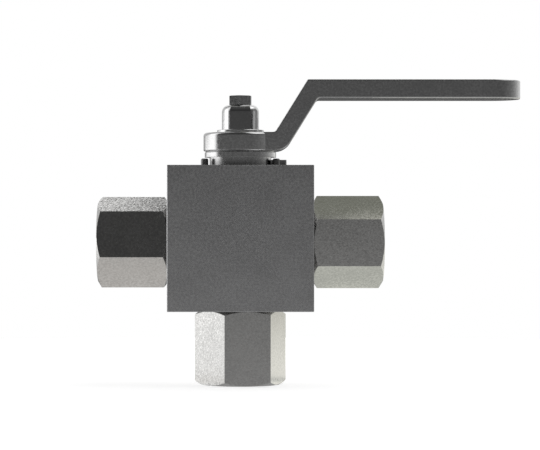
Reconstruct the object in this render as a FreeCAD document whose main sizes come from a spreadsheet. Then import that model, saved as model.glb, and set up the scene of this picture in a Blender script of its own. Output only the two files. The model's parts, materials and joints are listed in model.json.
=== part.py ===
import FreeCAD, Part

import os
import re

import Sketcher

# Three-way ball valve: a block body with a left, a right and a bottom port, an L-bored ball
# and a cranked lever. Millimetres. The origin is the centre of the bottom port's mouth, +Z runs
# up the stem, +X points to the right port and along the lever at rest, and -Y is the front.
# Every piece is drawn about the ball's centre and lifted by face_distance. The adapters and
# what they hold are drawn along +Z and turned to their port.

SIZES = {
    # Ports, measured outwards from the ball's centre
    "face_distance": 53.3,
    "flow_bore": 13.0,
    "port_bore": 20.96,
    "port_depth": 16.0,
    # Block
    "block_width": 53.9,
    "block_depth": 45.0,
    "block_top": 28.4,
    "block_bottom": 25.4,
    "block_edge": 0.2,
    "chamber_clearance": 0.7,
    # Screwed-in port adapters
    "adapter_thread": 27.0,
    "adapter_edge": 1.0,
    "adapter_clearance": 0.03,
    "port_wall": 0.5,
    "hex_flats": 30.0,
    "hex_bevel": 30.0,
    "mouth_inset": 0.2,
    "seat_inset": 0.6,
    "left_hex_turn": 11.5,
    "right_hex_turn": 0.6,
    "bottom_hex_turn": -10.2,
    # Seal ring in a groove behind each hexagon
    "body_ring_section": 1.9,
    "body_ring_land": 1.6,
    "body_ring_groove": 2.5,
    # Ball seat and its backing ring in each adapter
    "seat_wall": 2.0,
    "seat_gap": 1.0,
    "seat_reach": 3.5,
    "seat_clearance": 0.05,
    "seat_ring_inset": 0.2,
    "seat_bevel": 1.0,
    # Ball
    "ball_diameter": 25.0,
    "slot_width": 5.2,
    "slot_depth": 4.2,
    # Stem
    "stem_diameter": 13.9,
    "flat_depth": 1.15,
    "stem_round": 2.6,
    "tang_width": 14.0,
    "tang_clearance": 0.1,
    "shoulder_gap": 0.4,
    "shoulder_height": 2.5,
    "shoulder_step": 1.85,
    "pocket_clearance": 0.3,
    "running_clearance": 0.05,
    "thrust_thickness": 1.0,
    "stem_ring_section": 1.5,
    "stem_ring_groove": 2.0,
    "stem_ring_land": 1.2,
    "backup_thickness": 1.0,
    "tapped_depth": 13.0,
    # Stop disc and stop pins
    "stop_gap": 0.4,
    "stop_thickness": 2.0,
    "stop_boss": 2.95,
    "stop_diameter": 23.2,
    "tooth_width": 5.0,
    "tooth_overhang": 2.5,
    "tooth_corner": 0.8,
    "pin_diameter": 2.8,
    "pin_gap": 0.96,
    "pin_depth": 6.0,
    "pin_headroom": 0.5,
    "pin_edge": 0.4,
    "stop_clearance": 0.03,
    # Cover washer under the lever
    "cover_diameter": 26.8,
    "cover_thickness": 2.3,
    "cover_edge": 0.6,
    # Lever
    "hub_diameter": 27.7,
    "hub_round": 1.2,
    "lever_thickness": 6.95,
    "lever_width": 20.6,
    "lever_rise": 19.5,
    "lever_slope": 58.2,
    "lever_crank": 12.9,
    "lever_reach": 105.0,
    "lever_edge": 0.45,
    "tip_flat": 0.1,
    "lower_bend_outer": 7.0,
    "lower_bend_inner": 1.5,
    "upper_bend_outer": 0.6,
    "upper_bend_inner": 1.5,
    # Retaining ring above the lever
    "retainer_thickness": 1.0,
    "retainer_groove": 0.45,
    "retainer_width": 2.3,
    "retainer_opening": 5.0,
    "retainer_edge": 0.3,
    # Stem's end above the lever, and the screw in its top
    "stem_rise": 10.4,
    "screw_diameter": 5.0,
    "screw_length": 10.0,
    "screw_flats": 8.0,
    "screw_turn": 26.0,
    "screw_head": 3.5,
    "screw_bevel": 0.3,
    "screw_point": 0.5,
}

# Sizes that follow from those above, so that what fits together stays together
FITTED = {
    "chamber_bore": "ball_diameter + 2 * chamber_clearance",
    "adapter_start": "adapter_thread / 2 + port_wall",
    "hex_corners": "hex_flats / cos(30 deg)",
    "hex_mouth_round": "hex_flats - 2 * mouth_inset",
    "hex_seat_round": "hex_flats - 2 * seat_inset",
    "seat_outer": "flow_bore + 2 * seat_wall",
    "seat_front": "seat_outer / 2 + seat_gap",
    "seat_back": "ball_diameter / 2 + seat_reach",
    "seat_ring_section": "seat_wall - seat_ring_inset",
    "slot_floor": "ball_diameter / 2 - slot_depth",
    "shoulder_start": "ball_diameter / 2 + shoulder_gap",
    "shoulder_top": "shoulder_start + shoulder_height",
    "shoulder_diameter": "stem_diameter + 2 * shoulder_step",
    "pocket_diameter": "shoulder_diameter + 2 * pocket_clearance",
    "pocket_top": "shoulder_top + thrust_thickness + running_clearance",
    "stem_flats": "stem_diameter - 2 * flat_depth",
    "flats_start": "block_top + stop_gap",
    "lower_ring_height": "pocket_top + stem_ring_land + stem_ring_groove / 2",
    "upper_ring_height": "lower_ring_height + stem_ring_groove + stem_ring_land",
    "cover_bottom": "flats_start + stop_boss",
    "lever_bottom": "cover_bottom + cover_thickness",
    "lever_top": "lever_bottom + lever_thickness",
    "stem_top": "lever_top + stem_rise",
    "pin_place": "tooth_width / 2 + pin_diameter / 2 + stop_clearance",
    "pin_circle": "stop_diameter / 2 + pin_diameter / 2 + pin_gap",
    "pin_spread": "sqrt(pin_circle^2 - pin_place^2)",
    "pin_height": "stop_gap + stop_boss - pin_headroom",
    "tooth_reach": "pin_spread + pin_diameter / 2 + tooth_overhang",
    "retainer_seat": "stem_diameter - 2 * retainer_groove",
    "retainer_outer": "retainer_seat + 2 * retainer_width",
    "screw_corners": "screw_flats / cos(30 deg)",
    "screw_head_round": "screw_corners - 2 * screw_bevel",
}

FUNCTIONS = ("sqrt", "sin", "cos", "tan", "deg")

doc = FreeCAD.newDocument("three_way_ball_valve")
sheet = doc.addObject("Spreadsheet::Sheet", "Sizes")
cells = [(alias, str(size)) for alias, size in SIZES.items()]
cells += [(alias, "=" + text) for alias, text in FITTED.items()]
for row, (alias, content) in enumerate(cells, start=1):
    sheet.set("A%d" % row, alias)
    sheet.set("B%d" % row, content)
    sheet.setAlias("B%d" % row, alias)
doc.recompute()

pieces = []


def formula(text):
    """The expression for a formula that is written with the sheet's plain aliases."""
    def full_name(match):
        word = match.group(0)
        return word if word in FUNCTIONS else "Sizes." + word
    return re.sub(r"[a-z][a-z_]+", full_name, text)


def bind(thing, prop, text):
    """Tie one property or constraint to a formula of the sheet."""
    thing.setExpression(prop, formula(text))


def number(text):
    """The present value of a formula."""
    value = sheet.evalExpression(formula(text))
    return float(getattr(value, "Value", value))


# Bodies, sketches and features

def new_body(label, turn=None):
    """A body at the ball's centre; turn swings its +Z to the port that it belongs to."""
    body = doc.addObject("PartDesign::Body", label)
    body.Label = label
    place(body, turn)
    return body


def place(piece, turn=None):
    """Lift a piece to the ball's centre and keep it in the list of sub-parts."""
    rotation = turn if turn is not None else FreeCAD.Rotation()
    piece.Placement = FreeCAD.Placement(FreeCAD.Vector(0, 0, 0), rotation)
    bind(piece, "Placement.Base.z", "face_distance")
    pieces.append(piece)


def origin_feature(body, role):
    return next(f for f in body.Origin.OriginFeatures if f.Role == role)


def new_sketch(body, name, plane="XZ_Plane", height=None):
    """A sketch on one of the body's own planes, moved along its normal by height."""
    sketch = body.newObject("Sketcher::SketchObject", body.Label + "_" + name)
    sketch.AttachmentSupport = (origin_feature(body, plane), [""])
    sketch.MapMode = "FlatFace"
    if height is not None:
        bind(sketch, "AttachmentOffset.Base.z", height)
    return sketch


def pin_point(sketch, geometry, point, across, up):
    """Hold a point of the sketch at two formulas, measured from the sketch's origin."""
    for kind, text in (("DistanceX", across), ("DistanceY", up)):
        index = sketch.addConstraint(
            Sketcher.Constraint(kind, -1, 1, geometry, point, number(text)))
        bind(sketch, "Constraints[%d]" % index, text)


def outline(sketch, corners):
    """A closed outline of straight runs through corners, each an (across, up) pair."""
    spots = [FreeCAD.Vector(number(x), number(y), 0) for x, y in corners]
    first = sketch.GeometryCount
    count = len(corners)
    for i in range(count):
        sketch.addGeometry(Part.LineSegment(spots[i], spots[(i + 1) % count]))
    for i in range(count):
        after = first + (i + 1) % count
        sketch.addConstraint(Sketcher.Constraint("Coincident", first + i, 2, after, 1))
    for i, (across, up) in enumerate(corners):
        pin_point(sketch, first + i, 1, across, up)


def circle(sketch, diameter, across="0", up="0"):
    """A circle about a point of the sketch."""
    centre = FreeCAD.Vector(number(across), number(up), 0)
    index = sketch.addGeometry(
        Part.Circle(centre, FreeCAD.Vector(0, 0, 1), number(diameter) / 2))
    pin_point(sketch, index, 3, across, up)
    size = sketch.addConstraint(Sketcher.Constraint("Diameter", index, number(diameter)))
    bind(sketch, "Constraints[%d]" % size, diameter)


def double_d(sketch, radius, half_flats):
    """A round hole with two flats, across the sketch's second axis."""
    corner = "sqrt((%s)^2 - (%s)^2)" % (radius, half_flats)
    x, y = number(corner), number(half_flats)
    centre = FreeCAD.Vector(0, 0, 0)
    top = sketch.addGeometry(
        Part.LineSegment(FreeCAD.Vector(x, y, 0), FreeCAD.Vector(-x, y, 0)))
    bottom = sketch.addGeometry(
        Part.LineSegment(FreeCAD.Vector(-x, -y, 0), FreeCAD.Vector(x, -y, 0)))
    full = Part.Circle(centre, FreeCAD.Vector(0, 0, 1), number(radius))
    left = sketch.addGeometry(Part.ArcOfCircle(
        full, full.parameter(FreeCAD.Vector(-x, y, 0)), full.parameter(FreeCAD.Vector(-x, -y, 0))))
    start = full.parameter(FreeCAD.Vector(x, -y, 0)) - 2 * 3.141592653589793
    right = sketch.addGeometry(
        Part.ArcOfCircle(full, start, full.parameter(FreeCAD.Vector(x, y, 0))))
    for one, other in ((top, left), (left, bottom), (bottom, right), (right, top)):
        sketch.addConstraint(Sketcher.Constraint("Coincident", one, 2, other, 1))
    pin_point(sketch, top, 1, corner, half_flats)
    pin_point(sketch, bottom, 1, "-" + corner, "-(%s)" % half_flats)
    for arc in (left, right):
        sketch.addConstraint(Sketcher.Constraint("Coincident", arc, 3, -1, 1))


def hexagon(sketch, flats, turn):
    """A hexagon across flats, with a flat to the front, then turned by turn degrees."""
    corners = []
    for step in range(6):
        angle = "(%s + %d) * 1 deg" % (turn, 60 * step)
        reach = "(%s) / 2 / cos(30 deg)" % flats
        corners.append(("%s * cos(%s)" % (reach, angle), "%s * sin(%s)" % (reach, angle)))
    outline(sketch, corners)


def pad(body, sketch, length, symmetric=False, down=False):
    feature = body.newObject("PartDesign::Pad", sketch.Name + "_pad")
    feature.Profile = sketch
    bind(feature, "Length", length)
    if symmetric:
        feature.SideType = "Symmetric"
    feature.Reversed = down
    return feature


def pocket(body, sketch, length, symmetric=False, up=False):
    feature = body.newObject("PartDesign::Pocket", sketch.Name + "_pocket")
    feature.Profile = sketch
    bind(feature, "Length", length)
    if symmetric:
        feature.SideType = "Symmetric"
    feature.Reversed = up
    return feature


def turned(body, name, corners, kind="PartDesign::Revolution", axis="Z_Axis"):
    """Turn an outline of (radius, height) corners into a solid about the body's axis."""
    sketch = new_sketch(body, name)
    outline(sketch, corners)
    feature = body.newObject(kind, sketch.Name + "_turned")
    feature.Profile = sketch
    feature.ReferenceAxis = (origin_feature(body, axis), [""])
    return feature


def bored(body, name, corners, axis="Z_Axis"):
    """Turn an outline away from the body."""
    return turned(body, name, corners, kind="PartDesign::Groove", axis=axis)


def round_edges(body, kind, name, prop, size, wanted):
    """Fillet or chamfer those edges of the body's last feature that wanted picks."""
    doc.recompute()
    base = body.Tip
    names = ["Edge%d" % i for i, edge in enumerate(base.Shape.Edges, start=1) if wanted(edge)]
    feature = body.newObject(kind, body.Label + "_" + name)
    feature.Base = (base, names)
    bind(feature, prop, size)
    return feature


def near(one, other):
    return abs(one - other) < 0.001


def middle(edge):
    return edge.valueAt((edge.FirstParameter + edge.LastParameter) / 2)


def ring_solid(label, radius, section, height, turn=None):
    """A seal ring about the port's or stem's axis, with an eight-cornered section."""
    ring = new_body(label, turn)
    corners = []
    for step in range(8):
        angle = "%g deg" % (45 * step + 22.5)
        reach = "(%s) / 2 / cos(22.5 deg)" % section
        corners.append(("%s + %s * cos(%s)" % (radius, reach, angle),
                        "%s + %s * sin(%s)" % (height, reach, angle)))
    turned(ring, "section", corners)
    return ring


# Block body

def make_valve_body():
    body = new_body("valve_body")
    front = new_sketch(body, "front")
    half = "block_width / 2"
    outline(front, [("-%s" % half, "-block_bottom"), (half, "-block_bottom"),
                    (half, "block_top"), ("-%s" % half, "block_top")])
    pad(body, front, "block_depth", symmetric=True)
    round_edges(body, "PartDesign::Chamfer", "edges", "Size", "block_edge", lambda edge: True)

    # The side ports' threads and the chamber that the ball turns in
    thread = "adapter_thread / 2"
    chamber = "chamber_bore / 2"
    start = "adapter_start"
    bored(body, "side_ports", [
        ("-" + half, "0"), ("-" + half, thread), ("-" + start, thread),
        ("-" + start, chamber), (start, chamber), (start, thread),
        (half, thread), (half, "0")], axis="X_Axis")
    bored(body, "bottom_port", [
        ("0", "0"), (chamber, "0"), (chamber, "-" + start), (thread, "-" + start),
        (thread, "-block_bottom"), ("0", "-block_bottom")])

    # The stem's pocket and bore
    bore = "stem_diameter / 2 + running_clearance"
    bored(body, "stem_bore", [
        ("0", "0"), ("pocket_diameter / 2", "0"), ("pocket_diameter / 2", "pocket_top"),
        (bore, "pocket_top"), (bore, "block_top"), ("0", "block_top")])

    # Blind holes for the stop pins
    pins = new_sketch(body, "pin_holes", "XY_Plane", "block_top")
    for side in ("", "-"):
        circle(pins, "pin_diameter", side + "pin_spread", "-pin_place")
    pocket(body, pins, "pin_depth")
    return body


def make_stop_pin(label, side):
    """A dowel pin in front of the tooth, so that the tooth's flank meets it."""
    pin = new_body(label)
    radius = "pin_diameter / 2"
    low = "block_top - pin_depth"
    high = "block_top + pin_height"
    turned(pin, "dowel", [
        ("0", low), (radius, low), (radius, high + " - pin_edge"),
        (radius + " - pin_edge", high), ("0", high)])
    bind(pin, "Placement.Base.x", side + "pin_spread")
    bind(pin, "Placement.Base.y", "-pin_place")
    return pin


# Port adapters with what they hold

def make_adapter(label, seat_face, hex_turn, turn):
    """A hexagon with a threaded mouth, screwed into the block up to seat_face."""
    adapter = new_body(label, turn)
    hexagon_sketch = new_sketch(adapter, "hexagon", "XY_Plane", seat_face)
    hexagon(hexagon_sketch, "hex_flats", hex_turn)
    pad(adapter, hexagon_sketch, "face_distance - (%s)" % seat_face)

    # Bevels at both ends of the hexagon
    beyond = "hex_corners / 2 + 1"
    slope = "tan(hex_bevel * 1 deg)"
    mouth_drop = "(%s - hex_mouth_round / 2) * %s" % (beyond, slope)
    seat_drop = "(%s - hex_seat_round / 2) * %s" % (beyond, slope)
    bored(adapter, "mouth_bevel", [
        ("hex_mouth_round / 2", "face_distance"), (beyond, "face_distance"),
        (beyond, "face_distance - " + mouth_drop)])
    bored(adapter, "seat_bevel", [
        ("hex_seat_round / 2", seat_face), (beyond, seat_face),
        (beyond, "%s + %s" % (seat_face, seat_drop))])

    # The screwed-in end, with the seal ring's groove just inside the block's face
    thread = "adapter_thread / 2 - adapter_clearance"
    root = "adapter_thread / 2 - body_ring_section"
    groove_end = seat_face + " - body_ring_land"
    groove_start = groove_end + " - body_ring_groove"
    turned(adapter, "spigot", [
        ("0", "adapter_start"), (thread + " - adapter_edge", "adapter_start"),
        (thread, "adapter_start + adapter_edge"), (thread, groove_start),
        (root, groove_start), (root, groove_end), (thread, groove_end),
        (thread, seat_face), ("0", seat_face)])

    # The seat's pocket, the flow bore and the threaded mouth in one run
    flow = "flow_bore / 2"
    port = "port_bore / 2"
    seat_pocket = "seat_outer / 2 + seat_clearance"
    pocket_floor = "seat_back + seat_ring_section"
    port_floor = "face_distance - port_depth"
    bored(adapter, "bore", [
        ("0", "adapter_start"), (seat_pocket, "adapter_start"), (seat_pocket, pocket_floor),
        (flow, pocket_floor), (flow, port_floor + " - (port_bore - flow_bore) / 2 * tan(30 deg)"),
        (port, port_floor), (port, "face_distance"), ("0", "face_distance")])
    return adapter


def make_seat(label, turn):
    """A plastic seat ring whose front is hollowed to the ball."""
    seat = new_body(label, turn)
    turned(seat, "ring", [
        ("flow_bore / 2", "seat_front - seat_bevel"),
        ("seat_outer / 2 - seat_bevel", "seat_front - seat_bevel"),
        ("seat_outer / 2", "seat_front"), ("seat_outer / 2", "seat_back"),
        ("flow_bore / 2", "seat_back")])
    hollow = seat.newObject("PartDesign::SubtractiveSphere", label + "_hollow")
    bind(hollow, "Radius", "ball_diameter / 2 + seat_clearance")
    return seat


def make_port(side, seat_face, hex_turn, turn):
    make_adapter(side + "_adapter", seat_face, hex_turn, turn)
    groove_middle = seat_face + " - body_ring_land - body_ring_groove / 2"
    ring_solid(side + "_adapter_oring", "(adapter_thread - body_ring_section) / 2",
               "body_ring_section", groove_middle, turn)
    make_seat(side + "_seat", turn)
    ring_solid(side + "_seat_oring", "(seat_outer - seat_ring_section) / 2",
               "seat_ring_section", "seat_back + seat_ring_section / 2", turn)


# Ball and stem

def make_ball():
    ball = new_body("ball")
    sphere = ball.newObject("PartDesign::AdditiveSphere", "ball_sphere")
    bind(sphere, "Radius", "ball_diameter / 2")
    flow = "flow_bore / 2"
    reach = "ball_diameter / 2 + 1"
    bored(ball, "side_bore", [("0", "0"), (reach, "0"), (reach, flow), ("0", flow)],
          axis="X_Axis")
    bored(ball, "bottom_bore", [("0", "0"), (flow, "0"), (flow, "-(%s)" % reach),
                                ("0", "-(%s)" % reach)])
    elbow = ball.newObject("PartDesign::SubtractiveSphere", "ball_elbow")
    bind(elbow, "Radius", flow)
    slot = new_sketch(ball, "slot", "YZ_Plane")
    outline(slot, [("-slot_width / 2", "slot_floor"), ("slot_width / 2", "slot_floor"),
                   ("slot_width / 2", reach), ("-slot_width / 2", reach)])
    pocket(ball, slot, "2 * (%s)" % reach, symmetric=True)
    return ball


STEM_RADIUS = "stem_diameter / 2"
RING_ROOT = "stem_diameter / 2 - stem_ring_section"


def ring_groove(stem, name, height, width):
    """A seal groove around the stem, width wide and centred at height."""
    bored(stem, name, [
        (RING_ROOT, "%s - (%s) / 2" % (height, width)),
        (STEM_RADIUS + " + 1", "%s - (%s) / 2" % (height, width)),
        (STEM_RADIUS + " + 1", "%s + (%s) / 2" % (height, width)),
        (RING_ROOT, "%s + (%s) / 2" % (height, width))])


def make_stem():
    stem = new_body("stem")
    shoulder = "shoulder_diameter / 2"
    turned(stem, "shaft", [
        ("0", "shoulder_start"), (shoulder, "shoulder_start"), (shoulder, "shoulder_top"),
        (STEM_RADIUS, "shoulder_top"), (STEM_RADIUS, "stem_top"), ("0", "stem_top")])

    # The tang that turns the ball
    tang = new_sketch(stem, "tang", "XY_Plane", "shoulder_start")
    half = "tang_width / 2"
    thin = "slot_width / 2 - tang_clearance"
    outline(tang, [("-" + half, "-(%s)" % thin), (half, "-(%s)" % thin),
                   (half, thin), ("-" + half, thin)])
    pad(stem, tang, "shoulder_start - slot_floor - tang_clearance", down=True)

    # Two drive flats, from just above the block to the top
    flats = new_sketch(stem, "flats", "XY_Plane", "flats_start")
    for side in ("", "-"):
        inner = side + "stem_flats / 2"
        outer = side + "(%s + 1)" % STEM_RADIUS
        outline(flats, [("-" + STEM_RADIUS + " - 1", inner), (STEM_RADIUS + " + 1", inner),
                        (STEM_RADIUS + " + 1", outer), ("-" + STEM_RADIUS + " - 1", outer)])
    pocket(stem, flats, "stem_top - flats_start + 1", up=True)
    round_edges(stem, "PartDesign::Fillet", "nose", "Radius", "stem_round",
                lambda edge: all(near(v.Z, number("stem_top")) for v in edge.Vertexes))

    ring_groove(stem, "lower_groove", "lower_ring_height", "stem_ring_groove")
    ring_groove(stem, "upper_groove", "upper_ring_height + backup_thickness / 2",
                "stem_ring_groove + backup_thickness")

    # The retaining ring's groove, and the tapped hole for the end screw
    seat = "retainer_seat / 2"
    ring_low = "lever_top + running_clearance"
    ring_high = ring_low + " + retainer_thickness"
    bored(stem, "retainer_groove", [
        (seat, ring_low), (STEM_RADIUS + " + 1", ring_low),
        (STEM_RADIUS + " + 1", ring_high), (seat, ring_high)])
    hole = "screw_diameter / 2"
    floor = "stem_top - tapped_depth"
    bored(stem, "tapped_hole", [
        ("0", floor + " - %s * tan(30 deg)" % hole), (hole, floor), (hole, "stem_top"),
        ("0", "stem_top")])
    return stem


def make_washer(label, inner, outer, low, high, top_edge="0"):
    """A flat ring from low to high, with an optional bevel at its upper rim."""
    washer = new_body(label)
    rim = [(outer, high)]
    if top_edge != "0":
        rim = [(outer, high + " - " + top_edge), (outer + " - " + top_edge, high)]
    turned(washer, "ring", [(inner, low), (outer, low)] + rim + [(inner, high)])
    return washer


def make_stem_seals():
    slack = STEM_RADIUS + " + running_clearance"
    make_washer("stem_thrust_washer", slack, "shoulder_diameter / 2",
                "shoulder_top", "shoulder_top + thrust_thickness")
    ring_radius = "(stem_diameter - stem_ring_section) / 2"
    ring_solid("stem_lower_oring", ring_radius, "stem_ring_section", "lower_ring_height")
    ring_solid("stem_upper_oring", ring_radius, "stem_ring_section", "upper_ring_height")
    backup_low = "upper_ring_height + stem_ring_groove / 2"
    make_washer("stem_backup_ring", RING_ROOT, STEM_RADIUS,
                backup_low, backup_low + " + backup_thickness")


# What turns above the block

DRIVE_RADIUS = STEM_RADIUS + " + running_clearance"
DRIVE_FLATS = "stem_flats / 2 + running_clearance"


def drive_hole(piece, height, depth):
    """The double-D hole that the stem's flats drive."""
    hole = new_sketch(piece, "drive_hole", "XY_Plane", height)
    double_d(hole, DRIVE_RADIUS, DRIVE_FLATS)
    pocket(piece, hole, depth, up=True)


def make_stop_disc():
    disc = new_body("stop_disc")
    rim = new_sketch(disc, "rim", "XY_Plane", "flats_start")
    circle(rim, "stop_diameter")
    pad(disc, rim, "stop_boss")
    tooth = new_sketch(disc, "tooth", "XY_Plane", "flats_start")
    outline(tooth, [("0", "-tooth_width / 2"), ("tooth_reach", "-tooth_width / 2"),
                    ("tooth_reach", "tooth_width / 2"), ("0", "tooth_width / 2")])
    pad(disc, tooth, "stop_thickness")
    reach = number("tooth_reach")
    round_edges(disc, "PartDesign::Fillet", "tooth_corners", "Radius", "tooth_corner",
                lambda edge: all(near(v.X, reach) for v in edge.Vertexes)
                and near(edge.Length, number("stop_thickness")))
    drive_hole(disc, "flats_start", "stop_boss")
    return disc


def make_cover_washer():
    make_washer("cover_washer", DRIVE_RADIUS, "cover_diameter / 2",
                "cover_bottom", "lever_bottom", "cover_edge")


def make_lever():
    """A cranked flat arm with a round hub, as high as the arm is thick."""
    lever = new_body("lever")
    side = new_sketch(lever, "side")
    low = "lever_bottom"
    high = "lever_top"
    rise = "lever_rise / tan(lever_slope * 1 deg)"
    # How far a bend's inner corner lies from its outer one, along the arm
    shift = "lever_thickness * tan(lever_slope / 2 * 1 deg)"
    lower_inner = "lever_crank"
    lower_outer = "lever_crank + " + shift
    upper_outer = "lever_crank + " + rise
    upper_inner = upper_outer + " + " + shift
    outline(side, [
        ("0", low), (lower_outer, low), (upper_inner, low + " + lever_rise"),
        ("lever_reach", low + " + lever_rise"), ("lever_reach", high + " + lever_rise"),
        (upper_outer, high + " + lever_rise"), (lower_inner, high), ("0", high)])
    pad(lever, side, "lever_width", symmetric=True)

    bends = [(lower_outer, low, "lower_bend_outer"), (lower_inner, high, "lower_bend_inner"),
             (upper_outer, high + " + lever_rise", "upper_bend_outer"),
             (upper_inner, low + " + lever_rise", "upper_bend_inner")]
    for index, (across, up, radius) in enumerate(bends, start=1):
        x, z = number(across), number(up)
        round_edges(lever, "PartDesign::Fillet", "bend_%d" % index, "Radius", radius,
                    lambda edge: near(middle(edge).x, x) and near(middle(edge).z, z))

    # The tip is rounded over the whole width of the arm
    reach = number("lever_reach")
    round_edges(lever, "PartDesign::Fillet", "tip", "Radius", "(lever_width - tip_flat) / 2",
                lambda edge: near(middle(edge).x, reach)
                and near(edge.Length, number("lever_thickness")))

    # The arm's long rims and the tip's rims are broken
    half_width = number("lever_width / 2")

    def is_rim(edge):
        spot = middle(edge)
        ends = [vertex.Z for vertex in edge.Vertexes]
        is_upright = max(ends) - min(ends) > number("lever_thickness") - 0.01 and near(
            edge.Vertexes[0].X, edge.Vertexes[-1].X)
        on_side = near(abs(spot.y), half_width)
        on_tip = spot.x > reach - half_width and not near(spot.y, 0) or near(spot.x, reach)
        return not is_upright and (on_side or on_tip)

    round_edges(lever, "PartDesign::Fillet", "rims", "Radius", "lever_edge", is_rim)

    # The hub's rims are rounded before the arm joins it, so the corners between them stay sharp
    hub = doc.addObject("PartDesign::Body", "lever_hub")
    hub.Label = "lever_hub"
    disc = new_sketch(hub, "disc", "XY_Plane", low)
    circle(disc, "hub_diameter")
    pad(hub, disc, "lever_thickness")
    round_edges(hub, "PartDesign::Fillet", "upper_rim", "Radius", "hub_round",
                lambda edge: near(middle(edge).z, number(high)))
    round_edges(hub, "PartDesign::Fillet", "lower_rim", "Radius", "lever_edge",
                lambda edge: near(middle(edge).z, number(low)))
    join = lever.newObject("PartDesign::Boolean", "lever_join")
    join.Type = "Fuse"
    join.setObjects([hub])
    doc.recompute()
    drive_hole(lever, low, "lever_thickness")
    return lever


def make_retaining_ring():
    ring = new_body("lever_retaining_ring")
    sketch = new_sketch(ring, "section", "XY_Plane", "lever_top + running_clearance")
    circle(sketch, "retainer_outer")
    circle(sketch, "retainer_seat")
    pad(ring, sketch, "retainer_thickness")
    opening = new_sketch(ring, "opening", "XY_Plane", "lever_top + running_clearance")
    half = "retainer_opening / 2"
    outline(opening, [("-" + half, "0"), (half, "0"), (half, "retainer_outer"),
                      ("-" + half, "retainer_outer")])
    pocket(ring, opening, "retainer_thickness", up=True)

    # Stamping leaves the upper outer rim rounded
    def is_upper_rim(edge):
        spot = middle(edge)
        across = (spot.x ** 2 + spot.y ** 2) ** 0.5
        top = number("lever_top + running_clearance + retainer_thickness")
        return near(across, number("retainer_outer / 2")) and near(spot.z, top)

    round_edges(ring, "PartDesign::Fillet", "rim", "Radius", "retainer_edge", is_upper_rim)
    return ring


def make_end_screw():
    """A hexagon screw in the stem's tapped end, one corner nearly to the front."""
    screw = new_body("stem_end_screw")
    head = new_sketch(screw, "head", "XY_Plane", "stem_top")
    hexagon(head, "screw_flats", "screw_turn")
    pad(screw, head, "screw_head")
    beyond = "screw_corners / 2 + 1"
    top = "stem_top + screw_head"
    bored(screw, "head_bevel", [
        ("screw_head_round / 2", top), (beyond, top),
        (beyond, "%s - (%s - screw_head_round / 2) * tan(30 deg)" % (top, beyond))])
    shank = "screw_diameter / 2"
    turned(screw, "shank", [
        ("0", "stem_top - screw_length"), (shank + " - screw_point", "stem_top - screw_length"),
        (shank, "stem_top - screw_length + screw_point"), (shank, "stem_top"), ("0", "stem_top")])
    return screw


make_valve_body()
make_stop_pin("left_stop_pin", "-")
make_stop_pin("right_stop_pin", "")
Y_AXIS = FreeCAD.Vector(0, 1, 0)
make_port("left", "block_width / 2", "left_hex_turn", FreeCAD.Rotation(Y_AXIS, -90))
make_port("right", "block_width / 2", "right_hex_turn", FreeCAD.Rotation(Y_AXIS, 90))
make_port("bottom", "block_bottom", "bottom_hex_turn", FreeCAD.Rotation(Y_AXIS, 180))
make_ball()
make_stem()
make_stem_seals()
make_stop_disc()
make_cover_washer()
make_lever()
make_retaining_ring()
make_end_screw()

doc.recompute()
for thing in doc.Objects:
    if "Invalid" in thing.State or "Error" in thing.State:
        raise RuntimeError("%s failed: %s" % (thing.Label, thing.State))
for piece in pieces:
    if piece.Shape.isNull() or not piece.Shape.isValid() or len(piece.Shape.Solids) != 1:
        raise RuntimeError("%s has no valid single solid" % piece.Label)

os.makedirs("parts", exist_ok=True)
for piece in pieces:
    piece.Shape.exportStep(os.path.join("parts", piece.Label + ".step"))
    print("%-24s %10.1f mm3" % (piece.Label, piece.Shape.Volume))
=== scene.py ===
import json
import math

import bmesh
import bpy
from mathutils import Matrix, Vector


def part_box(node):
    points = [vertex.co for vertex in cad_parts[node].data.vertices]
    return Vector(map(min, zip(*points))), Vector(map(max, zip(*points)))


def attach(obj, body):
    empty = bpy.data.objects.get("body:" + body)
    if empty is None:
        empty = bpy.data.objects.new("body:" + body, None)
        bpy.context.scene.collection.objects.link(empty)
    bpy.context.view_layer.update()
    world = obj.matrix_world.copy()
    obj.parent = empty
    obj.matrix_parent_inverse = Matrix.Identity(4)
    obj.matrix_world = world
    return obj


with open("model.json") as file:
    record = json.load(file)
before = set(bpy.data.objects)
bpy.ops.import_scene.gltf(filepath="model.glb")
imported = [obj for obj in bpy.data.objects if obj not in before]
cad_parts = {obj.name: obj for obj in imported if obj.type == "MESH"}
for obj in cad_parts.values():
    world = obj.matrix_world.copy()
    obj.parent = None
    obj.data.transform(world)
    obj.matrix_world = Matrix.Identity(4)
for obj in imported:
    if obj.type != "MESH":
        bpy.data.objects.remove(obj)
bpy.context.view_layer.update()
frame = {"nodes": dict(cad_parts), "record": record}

# Lengths are in metres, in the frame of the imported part: +Z up the stem, +X to the right port
# and -Y to the front.

MM = 0.001
HOUSING = "housing"

# The camera stands level and straight in front of the stem. The photo is framed off-centre.
CAMERA_DISTANCE = 0.826
CAMERA_ABOVE_BALL = 0.0064
SENSOR_WIDTH = 36.0
PHOTO_WIDTH = 540
PHOTO_HEIGHT = 450
STEM_PIXEL = 240.45
BALL_PIXEL = 242.03
METRES_PER_PIXEL = 0.3757 * MM

FACE_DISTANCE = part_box("right_adapter")[1].x
BALL_CENTRE = Vector((0, 0, FACE_DISTANCE))


# Node helpers

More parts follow.
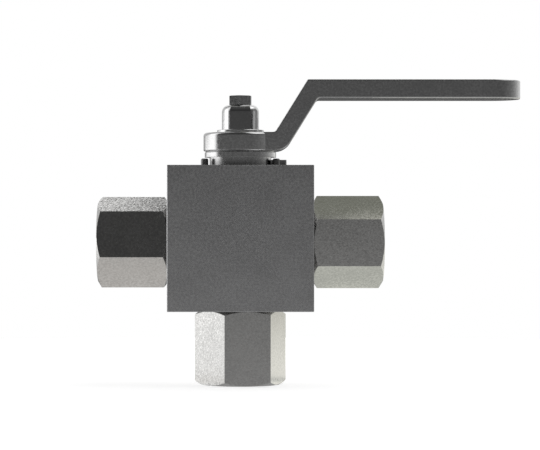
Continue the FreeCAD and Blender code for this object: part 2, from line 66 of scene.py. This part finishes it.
class Nodes:
    """A node tree that is built by short calls, each of which returns an output socket."""

    def __init__(self, tree):
        self.tree = tree
        tree.nodes.clear()

    def add(self, kind, **settings):
        node = self.tree.nodes.new(kind)
        for name, value in settings.items():
            setattr(node, name, value)
        return node

    def feed(self, socket, source):
        """Link a socket to another, or set it to a plain value."""
        if isinstance(source, bpy.types.NodeSocket):
            self.tree.links.new(source, socket)
        else:
            socket.default_value = source

    def math(self, operation, *inputs, clamp=False):
        node = self.add("ShaderNodeMath", operation=operation, use_clamp=clamp)
        for socket, source in zip(node.inputs, inputs):
            self.feed(socket, source)
        return node.outputs[0]

    def spread(self, value, low, high, to_low=0.0, to_high=1.0, kind="SMOOTHSTEP"):
        """A value mapped from one range to another, with soft ends."""
        node = self.add("ShaderNodeMapRange", interpolation_type=kind)
        for socket, source in zip(node.inputs, (value, low, high, to_low, to_high)):
            self.feed(socket, source)
        return node.outputs[0]

    def vector(self, operation, *inputs):
        node = self.add("ShaderNodeVectorMath", operation=operation)
        for socket, source in zip(node.inputs, inputs):
            self.feed(socket, source)
        return node.outputs["Value" if operation == "LENGTH" else "Vector"]

    def split(self, vector):
        node = self.add("ShaderNodeSeparateXYZ")
        self.feed(node.inputs[0], vector)
        return node.outputs

    def noise(self, place, scale, detail=2.0, roughness=0.5):
        node = self.add("ShaderNodeTexNoise")
        self.feed(node.inputs["Vector"], place)
        self.feed(node.inputs["Scale"], scale)
        self.feed(node.inputs["Detail"], detail)
        self.feed(node.inputs["Roughness"], roughness)
        return node.outputs["Fac"]

    def band(self, value, rise, fall):
        """1 between a rise and a fall, each from where to where it runs, and 0 beyond them."""
        return self.math("MULTIPLY", self.spread(value, *rise),
                         self.spread(value, *fall, 1.0, 0.0))

    def blend(self, factor, one, other):
        """A colour between two colours."""
        node = self.add("ShaderNodeMix", data_type="RGBA")
        self.feed(node.inputs[0], factor)
        self.feed(node.inputs[6], one)
        self.feed(node.inputs[7], other)
        return node.outputs[2]

    def stops(self, value, marks):
        """A number that follows (place, height) marks, with straight runs between them."""
        node = self.add("ShaderNodeFloatCurve")
        curve = node.mapping.curves[0]
        node.mapping.use_clip = False
        for place, height in marks[1:-1]:
            curve.points.new(place, height)
        for point, (place, height) in zip(
                (curve.points[0], curve.points[-1]), (marks[0], marks[-1])):
            point.location = (place, height)
        for point in curve.points:
            point.handle_type = "VECTOR"
        node.mapping.update()
        self.feed(node.inputs["Value"], value)
        return node.outputs[0]

    def between(self, share, one, other):
        """A number between two others."""
        node = self.add("ShaderNodeMix", data_type="FLOAT")
        self.feed(node.inputs[0], share)
        self.feed(node.inputs[2], one)
        self.feed(node.inputs[3], other)
        return node.outputs[0]

    def object_place(self):
        return self.add("ShaderNodeTexCoord").outputs["Object"]

    def output(self, shader, kind="ShaderNodeOutputMaterial"):
        self.feed(self.add(kind).inputs["Surface"], shader)


def new_material(name):
    material = bpy.data.materials.new(name)
    material.use_nodes = True
    return material, Nodes(material.node_tree)


def grey(level):
    return (level, level, level, 1.0)


def tint(colour, factor):
    """A colour made darker or lighter, with the opaque fourth value that sockets take."""
    return tuple(min(1.0, part * factor) for part in colour) + (1.0,)


# Materials of the valve

MOTTLE_RANGE = (0.35, 0.65)
MOTTLE_FINE_SHARE = 0.8
MOTTLE_BROAD_SIZE = 9 * MM
METAL_RELIEF = 0.03 * MM
FLAT_EDGE = 0.1 * MM
TILT_SIZE = 0.6 * MM
TILT_CHANGES = (-9 * MM, -6 * MM)
LOW_SHADE_ROUGHNESS = 0.16
MOULD_RANGE = (0.3, 0.7)
MOULD_GRAIN_SIZE = 0.4 * MM
MOULD_BROAD_SIZE = 4 * MM
MOULD_TINTS = (0.92, 1.06)
MOULD_PATCHES = 0.05
MOULD_RELIEF = 0.02 * MM


def mottle_levels(nodes, place, size):
    """Noise that mixes fine spots with broad patches."""
    fine = nodes.noise(place, 1 / size, 3.0, 0.6)
    broad = nodes.noise(place, 1 / MOTTLE_BROAD_SIZE)
    return nodes.between(MOTTLE_FINE_SHARE, broad, fine)


def milled_flats(nodes, place, distance, shaft_radius):
    """1 on the flats that lie this far from the axis of a shaft of this radius, else 0."""
    x, y, z = nodes.split(place)
    radius = nodes.math("SQRT", nodes.math("ADD", nodes.math("MULTIPLY", x, x),
                                           nodes.math("MULTIPLY", y, y)))
    return nodes.math(
        "MULTIPLY", nodes.spread(nodes.math("ABSOLUTE", y), distance - FLAT_EDGE, distance),
        nodes.spread(radius, shaft_radius, shaft_radius + FLAT_EDGE, 1.0, 0.0))


def tilted_normal(nodes, place, amount):
    """The surface's direction, tilted at random from grain to grain."""
    node = nodes.add("ShaderNodeTexNoise")
    nodes.feed(node.inputs["Vector"], place)
    nodes.feed(node.inputs["Scale"], 1 / TILT_SIZE)
    nodes.feed(node.inputs["Detail"], 1.0)
    lean = nodes.vector("SUBTRACT", node.outputs["Color"], (0.5, 0.5, 0.5))
    lean = nodes.vector("MULTIPLY", lean, amount)
    normal = nodes.add("ShaderNodeNewGeometry").outputs["Normal"]
    return nodes.vector("NORMALIZE", nodes.vector("ADD", normal, lean))


def grain_bump(nodes, height, strength, depth):
    """A bump node for a fine grain."""
    bump = nodes.add("ShaderNodeBump")
    nodes.feed(bump.inputs["Strength"], strength)
    nodes.feed(bump.inputs["Distance"], depth)
    nodes.feed(bump.inputs["Height"], height)
    return bump


def metal(name, colour, roughness, mottle=0.12, mottle_size=0.8 * MM, relief=0.25,
          grain_size=0.35 * MM, patches=0.06, tilts=None, flats=None, painted_low_shade=None):
    """Plated steel: mottled colour, uneven sheen and a fine grain that breaks up reflections.

    Tilts are how far the grains lean on the far left and elsewhere. Flats are the milled
    stretches of a shaft: how far they lie from its axis, the shaft's radius, and how much
    darker their colour is painted there, as painted shade. The painted low shade is a stretch
    whose colour is darkened as painted shade where the parts come close to the block, and which
    is also rougher: its lowest and highest place, and how dark it is at the lowest.
    """
    material, nodes = new_material(name)
    place = nodes.object_place()
    level = mottle_levels(nodes, place, mottle_size)
    skin = nodes.blend(nodes.spread(level, *MOTTLE_RANGE),
                       tint(colour, 1 - mottle), tint(colour, 1 + mottle))
    sheen = nodes.spread(level, *MOTTLE_RANGE, roughness - patches, roughness + patches)
    if flats is not None:
        distance, shaft_radius, flat_shade = flats
        # Painted shade: the flats' colour is darkened by this factor
        skin = nodes.blend(milled_flats(nodes, place, distance, shaft_radius), skin,
                           tint(colour, flat_shade))
    if painted_low_shade is not None:
        lowest, highest, darkness = painted_low_shade
        # Painted shade: the colour darkens towards the lowest place, near the block, and the
        # stretch is rougher too
        low_shade_share = nodes.spread(nodes.split(place)[2], lowest, highest, 1.0, 0.0)
        skin = nodes.blend(low_shade_share, skin, tint(colour, darkness))
        sheen = nodes.math("ADD", sheen, nodes.math("MULTIPLY", low_shade_share, LOW_SHADE_ROUGHNESS))
    bump = grain_bump(nodes, nodes.noise(place, 1 / grain_size, 2.0, 0.55), relief, METAL_RELIEF)
    if tilts is not None:
        lean = nodes.spread(nodes.split(place)[0], *TILT_CHANGES, *tilts)
        nodes.feed(bump.inputs["Normal"], tilted_normal(nodes, place, lean))
    bsdf = nodes.add("ShaderNodeBsdfPrincipled")
    nodes.feed(bsdf.inputs["Base Color"], skin)
    nodes.feed(bsdf.inputs["Metallic"], 1.0)
    nodes.feed(bsdf.inputs["Roughness"], sheen)
    nodes.feed(bsdf.inputs["Normal"], bump.outputs["Normal"])
    nodes.output(bsdf.outputs["BSDF"])
    return material


def moulded(name, colour, roughness, relief=0.15):
    """Plastic or rubber with a faint grain and slightly uneven sheen."""
    material, nodes = new_material(name)
    place = nodes.object_place()
    grain = nodes.noise(place, 1 / MOULD_GRAIN_SIZE)
    broad = nodes.noise(place, 1 / MOULD_BROAD_SIZE)
    dark, light = MOULD_TINTS
    bump = grain_bump(nodes, grain, relief, MOULD_RELIEF)
    bsdf = nodes.add("ShaderNodeBsdfPrincipled")
    nodes.feed(bsdf.inputs["Base Color"],
               nodes.blend(broad, tint(colour, dark), tint(colour, light)))
    nodes.feed(bsdf.inputs["Roughness"],
               nodes.spread(grain, *MOULD_RANGE, roughness - MOULD_PATCHES,
                            roughness + MOULD_PATCHES))
    nodes.feed(bsdf.inputs["Normal"], bump.outputs["Normal"])
    nodes.output(bsdf.outputs["BSDF"])
    return material


MATERIALS = {
    "block_steel": metal("block_steel", (0.69, 0.69, 0.695), 0.27, mottle=0.13, relief=0.3,
                         patches=0.04),
    "adapter_steel": metal("adapter_steel", (0.72, 0.715, 0.7), 0.15, relief=0.4,
                           tilts=(0.22, 0.05)),
    # The lever steel's lowest stretch, near the block, is darkened as painted shade
    "lever_steel": metal("lever_steel", (0.69, 0.69, 0.69), 0.17, mottle=0.08,
                         painted_low_shade=(82 * MM, 86 * MM, 0.5)),
    # The stem's milled flats are painted darker, as painted shade
    "stem_steel": metal("stem_steel", (0.8, 0.8, 0.8), 0.17, mottle=0.04, relief=0.15,
                        flats=(5.75 * MM, 7 * MM, 0.55)),
    "dark_steel": metal("dark_steel", (0.3, 0.3, 0.3), 0.35, mottle=0.08),
    "screw_steel": metal("screw_steel", (0.55, 0.55, 0.55), 0.18, mottle=0.14),
    "ball_steel": metal("ball_steel", (0.78, 0.78, 0.79), 0.07, mottle=0.02, relief=0.03),
    "seat_plastic": moulded("seat_plastic", (0.82, 0.82, 0.78), 0.45),
    "seal_rubber": moulded("seal_rubber", (0.03, 0.03, 0.03), 0.5),
}


def dress_cad_nodes():
    """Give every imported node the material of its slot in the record."""
    for row in frame["record"]["subparts"]:
        node = frame["nodes"][row["node"]]
        node.data.materials.clear()
        node.data.materials.append(MATERIALS[row["material_slot"]])


def add_object(name, mesh):
    """Link a new object that takes the shape of a bmesh, which is freed."""
    data = bpy.data.meshes.new(name)
    mesh.to_mesh(data)
    mesh.free()
    added = bpy.data.objects.new(name, data)
    bpy.context.scene.collection.objects.link(added)
    return added


# Pipe threads in the three ports

THREAD_PITCH = 1.814 * MM
THREAD_ROOT = 10.48 * MM
THREAD_CREST = 9.32 * MM
THREAD_SINK = 0.05 * MM
THREAD_STEPS = 48
PORT_DEPTH = 16 * MM

# Where the ridge starts and ends, in turns from the port's mouth and floor, and over how many
# turns it rises and dies away
LEAD_IN = 0.9
LEAD_OUT = 1.3
RISE_TURNS = 0.8
FALL_TURNS = 0.5
LEAST_RIDGE = 0.02

# Half the ridge's width at its foot and at its crest, in pitches
HALF_FOOT = 0.46
HALF_CREST = 0.07


def make_port_thread(name, degrees):
    """The ridge of the pipe thread, wound inside a port whose mouth faces +Z before the turn."""
    turns = PORT_DEPTH / THREAD_PITCH - LEAD_IN - LEAD_OUT
    count = int(turns * THREAD_STEPS)
    foot = THREAD_PITCH * HALF_FOOT
    flat = THREAD_PITCH * HALF_CREST
    mesh = bmesh.new()
    rings = []
    for step in range(count + 1):
        turned = step / THREAD_STEPS
        left = (count - step) / THREAD_STEPS
        angle = 2 * math.pi * turned
        height = FACE_DISTANCE - THREAD_PITCH * (LEAD_IN + turned)
        rise = max(LEAST_RIDGE, min(1.0, turned / RISE_TURNS, left / FALL_TURNS))
        crest = THREAD_ROOT - (THREAD_ROOT - THREAD_CREST) * rise
        profile = ((THREAD_ROOT + THREAD_SINK, height + foot), (THREAD_ROOT, height + foot),
                   (crest, height + flat), (crest, height - flat),
                   (THREAD_ROOT, height - foot), (THREAD_ROOT + THREAD_SINK, height - foot))
        rings.append([mesh.verts.new((r * math.cos(angle), r * math.sin(angle), z))
                      for r, z in profile])
    for one, two in zip(rings, rings[1:]):
        for i in range(len(one)):
            j = (i + 1) % len(one)
            mesh.faces.new((one[i], one[j], two[j], two[i]))
    mesh.faces.new(rings[0])
    mesh.faces.new(reversed(rings[-1]))
    bmesh.ops.recalc_face_normals(mesh, faces=mesh.faces)
    piece = add_object(name, mesh)
    turn = Matrix.Rotation(math.radians(degrees), 4, "Y")
    piece.data.transform(Matrix.Translation(BALL_CENTRE) @ turn)
    piece.data.materials.append(MATERIALS["adapter_steel"])
    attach(piece, HOUSING)


# Camera, floor and light

def make_camera():
    data = bpy.data.cameras.new("camera")
    data.sensor_fit = "HORIZONTAL"
    data.sensor_width = SENSOR_WIDTH
    data.lens = SENSOR_WIDTH * CAMERA_DISTANCE / (PHOTO_WIDTH * METRES_PER_PIXEL)
    camera = bpy.data.objects.new("camera", data)
    horizon = BALL_PIXEL - CAMERA_ABOVE_BALL / METRES_PER_PIXEL
    data.shift_x = (PHOTO_WIDTH / 2 - STEM_PIXEL) / PHOTO_WIDTH
    data.shift_y = (horizon - PHOTO_HEIGHT / 2) / PHOTO_WIDTH
    camera.location = (0, -CAMERA_DISTANCE, BALL_CENTRE.z + CAMERA_ABOVE_BALL)
    camera.rotation_euler = (math.radians(90), 0, 0)
    bpy.context.scene.collection.objects.link(camera)
    bpy.context.scene.camera = camera


# What stands round the valve, by degrees round the stem: 0 in front, 90 right and -90 left

RIGHT_SHARE = ((-180, 0), (40, 0), (66, 0.06), (80, 0.12), (95, 0.22), (108, 0.42), (118, 0.55),
               (130, 0.78), (145, 1), (180, 1))
LEFT_STARTS = -74.5
LEFT_FULL = -89.5
LEFT_FADES = -136.0
LEFT_FADED = -146.0
LEFT_REST = 0.36
REAR_STARTS = 147.0
REAR_FULL = 164.0
WARM_WHITE = (1.0, 0.99, 0.9, 1.0)
WARM_OVERHEAD = (0.97, 1.0, 0.85, 1.0)
WARM_BELOW_LEFT = (1.0, 0.968, 0.936, 1.0)
WARM_BELOW_RIGHT = (0.98, 1.0, 0.916, 1.0)


def degrees_round(nodes, x, y):
    """The direction of (x, y), in degrees round the stem."""
    return nodes.math("MULTIPLY", nodes.math("ARCTAN2", x, nodes.math("MULTIPLY", y, -1.0)),
                      180 / math.pi)


def surroundings(nodes, around, front, right, left, rear, left_fades=LEFT_FADES,
                 left_faded=LEFT_FADED):
    """Blend four levels by the degrees round the stem.

    The left one fades towards the rear. Returns the level and the right one's share in it.
    """
    turn = nodes.spread(around, -180.0, 180.0, kind="LINEAR")
    right_share = nodes.stops(turn, [((angle + 180) / 360, share) for angle, share in RIGHT_SHARE])
    left_share = nodes.spread(around, LEFT_FULL, LEFT_STARTS, 1.0, 0.0)
    rear_share = nodes.spread(nodes.math("ABSOLUTE", around), REAR_STARTS, REAR_FULL)
    level = nodes.between(right_share, front, right)
    fade = nodes.spread(around, left_faded, left_fades, LEFT_REST, 1.0)
    level = nodes.between(left_share, level, nodes.math("MULTIPLY", left, fade))
    seen_right = nodes.math("MULTIPLY", right_share, nodes.math("SUBTRACT", 1.0, rear_share))
    return nodes.between(rear_share, level, rear), seen_right


FLOOR_RADIUS = 0.34
FLOOR_WHITE = 0.8

# How brightly the floor glows for the camera, near the valve and far from it
FLOOR_NEAR = 0.05
FLOOR_FAR = 0.16
FLOOR_GLOW = 0.72
FLOOR_EDGE_GLOW = 1.0

# What the valve mirrors of the floor: its levels in front, right, left and behind, and the gleam
# that it has at a grazing angle
FLOOR_MIRRORED = (0.335, 1.06, 0.69, 0.14)
FLOOR_GLOSS = 0.52
FLOOR_GLOSS_IOR = 1.45
FLOOR_GLOSS_ROUGHNESS = 0.1

# The middle of the bottom hexagon's left and right facets
LEFT_FACET = -11.5 * MM
RIGHT_FACET = 14 * MM
FACETS_IN_FRONT = 7 * MM
FACETS_APART = 12 * MM

# The two patches of floor that the side hexagons' lower facets mirror: their soft edges, from
# where to where each runs, and how much further back the right one lies
PATCH_INNER = (23 * MM, 28 * MM)
PATCH_OUTER = (55 * MM, 65 * MM)
PATCH_FRONT = (-15.5 * MM, -10.5 * MM)
PATCH_BACK = (3 * MM, 8 * MM)
PATCH_RIGHT_BACK = 20.5 * MM
PATCHES_APART = 20 * MM
PATCH_LEVEL = 0.55


def mirrored_floor(nodes, x, y):
    """The level and the colour of the floor in what the valve mirrors."""
    # The bottom hexagon's facets mirror the floor in the directions that they face, so those are
    # measured from the middle of the facets and not from the stem
    facet = nodes.spread(x, -FACETS_APART, FACETS_APART, LEFT_FACET, RIGHT_FACET)
    around = degrees_round(nodes, nodes.math("SUBTRACT", x, facet),
                           nodes.math("ADD", y, FACETS_IN_FRONT))
    level, warm = surroundings(nodes, around, *FLOOR_MIRRORED)
    on_right = nodes.spread(x, -PATCHES_APART, PATCHES_APART)
    behind = nodes.math("SUBTRACT", y, nodes.math("MULTIPLY", on_right, PATCH_RIGHT_BACK))
    patch = nodes.math(
        "MULTIPLY", nodes.band(nodes.math("ABSOLUTE", x), PATCH_INNER, PATCH_OUTER),
        nodes.band(behind, PATCH_FRONT, PATCH_BACK))
    colour = nodes.blend(warm, grey(1.0), WARM_WHITE)
    below = nodes.blend(on_right, WARM_BELOW_LEFT, WARM_BELOW_RIGHT)
    return nodes.between(patch, level, PATCH_LEVEL), nodes.blend(patch, colour, below)


def floor_material():
    """White to the camera apart from the valve's soft shadow, and satin in what it mirrors."""
    material, nodes = new_material("floor_white")
    place = nodes.object_place()
    x, y, z = nodes.split(place)
    path = nodes.add("ShaderNodeLightPath")
    in_gloss = path.outputs["Is Glossy Ray"]
    outward = nodes.spread(nodes.vector("LENGTH", place), FLOOR_NEAR, FLOOR_FAR)
    seen = nodes.math("MULTIPLY", path.outputs["Is Camera Ray"],
                      nodes.between(outward, FLOOR_GLOW, FLOOR_EDGE_GLOW))
    mirrored = nodes.math("ADD", in_gloss, path.outputs["Is Transmission Ray"], clamp=True)
    level, colour = mirrored_floor(nodes, x, y)

    diffuse = nodes.add("ShaderNodeBsdfDiffuse")
    nodes.feed(diffuse.inputs["Color"], nodes.blend(in_gloss, grey(FLOOR_WHITE), grey(0.0)))
    emission = nodes.add("ShaderNodeEmission")
    nodes.feed(emission.inputs["Color"], nodes.blend(mirrored, grey(1.0), colour))
    nodes.feed(emission.inputs["Strength"],
               nodes.math("ADD", seen, nodes.math("MULTIPLY", mirrored, level)))
    cloth = nodes.add("ShaderNodeAddShader")
    nodes.feed(cloth.inputs[0], diffuse.outputs[0])
    nodes.feed(cloth.inputs[1], emission.outputs[0])

    fresnel = nodes.add("ShaderNodeFresnel")
    nodes.feed(fresnel.inputs["IOR"], FLOOR_GLOSS_IOR)
    gloss = nodes.add("ShaderNodeBsdfAnisotropic")
    nodes.feed(gloss.inputs["Color"], grey(1.0))
    nodes.feed(gloss.inputs["Roughness"], FLOOR_GLOSS_ROUGHNESS)
    satin = nodes.add("ShaderNodeMixShader")
    gleam = nodes.math("MULTIPLY", fresnel.outputs[0], FLOOR_GLOSS)
    nodes.feed(satin.inputs[0], nodes.math("MULTIPLY", in_gloss, gleam))
    nodes.feed(satin.inputs[1], cloth.outputs[0])
    nodes.feed(satin.inputs[2], gloss.outputs[0])
    nodes.output(satin.outputs[0])
    return material


def make_floor():
    """A white disc under the valve."""
    mesh = bmesh.new()
    bmesh.ops.create_circle(mesh, cap_ends=True, segments=96, radius=FLOOR_RADIUS)
    floor = add_object("floor", mesh)
    floor.data.materials.append(floor_material())


TENT_RADIUS = 2.5

# Brightness of the tent's four sides, as (degrees above the horizon, level) pairs
TENT_FRONT = ((-90, 0.1), (-50, 0.22), (-15, 0.28), (-8, 0.28), (-4, 0.262), (-2.3, 0.208),
              (0, 0.115), (2, 0.09), (3.5, 0.13), (5, 0.08), (22, 0.05), (74, 0.05), (90, 0.12))
TENT_RIGHT = ((-90, 0.55), (-45, 0.6), (-10, 1.05), (-3.5, 0.84), (-1.5, 0.48), (0, 0.48),
              (2.2, 0.6), (2.8, 1.3), (3.2, 1.1), (4, 0.75), (20, 0.8), (37, 0.62), (61, 0.24),
              (90, 0.16))
TENT_LEFT = ((-90, 0.55), (-45, 0.6), (-10, 0.85), (-3.5, 0.93), (-1, 1.15), (0.5, 1.55),
             (2.3, 1.75), (3, 1.45), (20, 1.6), (37, 1.0), (61, 0.75), (75, 0.6), (90, 0.16))
TENT_REAR = ((-90, 0.55), (-60, 0.3), (-12, 0.13), (-6, 0.1), (0, 0.1), (3, 0.3), (7, 0.65),
             (20, 0.8), (34.5, 1.22), (39.5, 0.23), (61, 0.23), (75, 0.17), (90, 0.16))

# Above the horizon the left wall fades sooner, which leaves the stem a grey limb on that side
WALL_CHANGES = (2.9, 3.3)
LEFT_FADES_ABOVE = -104.0
LEFT_FADED_ABOVE = -128.0

# Soft edges of what hangs in the tent, from where to where each runs: the sides in degrees round
# the stem, the feet and tops in degrees above the horizon. The window is high on the right, where
# the rounded upper rims catch it. The dim panel is behind on the left, and darkens the left
# hexagon's top towards the block.
WINDOW_SIDES = ((30.0, 60.0), (125.0, 145.0))
WINDOW_EDGES = ((30.0, 45.0), (72.0, 84.0))
WINDOW_LEVEL = 1.2
PANEL_SIDE = (-178.6, -174.4)
PANEL_EDGES = ((26.0, 32.0), (44.0, 52.0))
PANEL_SHADE = 0.12
WARM_WALL_TOP = (0.0, 4.0)
WARM_ROOF_FOOT = (48.0, 60.0)
WARM_ROOF_SIDE = (140.0, 160.0)


def tent_material():
    """Cloth that is dark in front, bright on both sides and soft grey overhead."""
    material, nodes = new_material("tent_cloth")
    x, y, z = nodes.split(nodes.vector("NORMALIZE", nodes.object_place()))
    around = degrees_round(nodes, x, y)
    up = nodes.math("MULTIPLY", nodes.math("ARCSINE", z), 180 / math.pi)
    height = nodes.spread(up, -90.0, 90.0, kind="LINEAR")
    sides = [nodes.stops(height, [((angle + 90) / 180, level) for angle, level in side])
             for side in (TENT_FRONT, TENT_RIGHT, TENT_LEFT, TENT_REAR)]
    level, right_share = surroundings(
        nodes, around, *sides, nodes.spread(up, *WALL_CHANGES, LEFT_FADES, LEFT_FADES_ABOVE),
        nodes.spread(up, *WALL_CHANGES, LEFT_FADED, LEFT_FADED_ABOVE))
    window = nodes.math("MULTIPLY", nodes.band(around, *WINDOW_SIDES),
                        nodes.band(up, *WINDOW_EDGES))
    level = nodes.math("ADD", level, nodes.math("MULTIPLY", window, WINDOW_LEVEL))
    panel = nodes.math("MULTIPLY", nodes.spread(around, *PANEL_SIDE, 1.0, 0.0),
                       nodes.band(up, *PANEL_EDGES))
    level = nodes.math("MULTIPLY", level, nodes.between(panel, 1.0, PANEL_SHADE))
    warm_wall = nodes.math("MULTIPLY", right_share, nodes.spread(up, *WARM_WALL_TOP, 1.0, 0.0))
    colour = nodes.blend(warm_wall, grey(1.0), WARM_WHITE)
    warm_roof = nodes.math("MULTIPLY", nodes.spread(up, *WARM_ROOF_FOOT),
                           nodes.spread(around, *WARM_ROOF_SIDE))
    emission = nodes.add("ShaderNodeEmission")
    nodes.feed(emission.inputs["Color"], nodes.blend(warm_roof, colour, WARM_OVERHEAD))
    nodes.feed(emission.inputs["Strength"], level)
    nodes.output(emission.outputs[0])
    return material


def make_tent():
    """A round light tent, which the camera looks through."""
    mesh = bmesh.new()
    bmesh.ops.create_uvsphere(mesh, u_segments=64, v_segments=32, radius=TENT_RADIUS)
    tent = add_object("tent", mesh)
    for face in tent.data.polygons:
        face.use_smooth = True
    tent.location = BALL_CENTRE
    tent.visible_camera = False
    tent.data.materials.append(tent_material())


def make_world():
    """The white background that the camera sees past the tent."""
    world = bpy.data.worlds.new("white")
    bpy.context.scene.world = world
    world.use_nodes = True
    nodes = Nodes(world.node_tree)
    background = nodes.add("ShaderNodeBackground")
    nodes.feed(background.inputs["Color"], grey(1.0))
    nodes.feed(background.inputs["Strength"], 1.0)
    nodes.output(background.outputs[0], "ShaderNodeOutputWorld")


bpy.context.scene.view_settings.view_transform = "Standard"
make_camera()
make_floor()
make_tent()
make_world()
dress_cad_nodes()
for side, degrees in (("left", -90), ("right", 90), ("bottom", 180)):
    make_port_thread(side + "_port_thread", degrees)
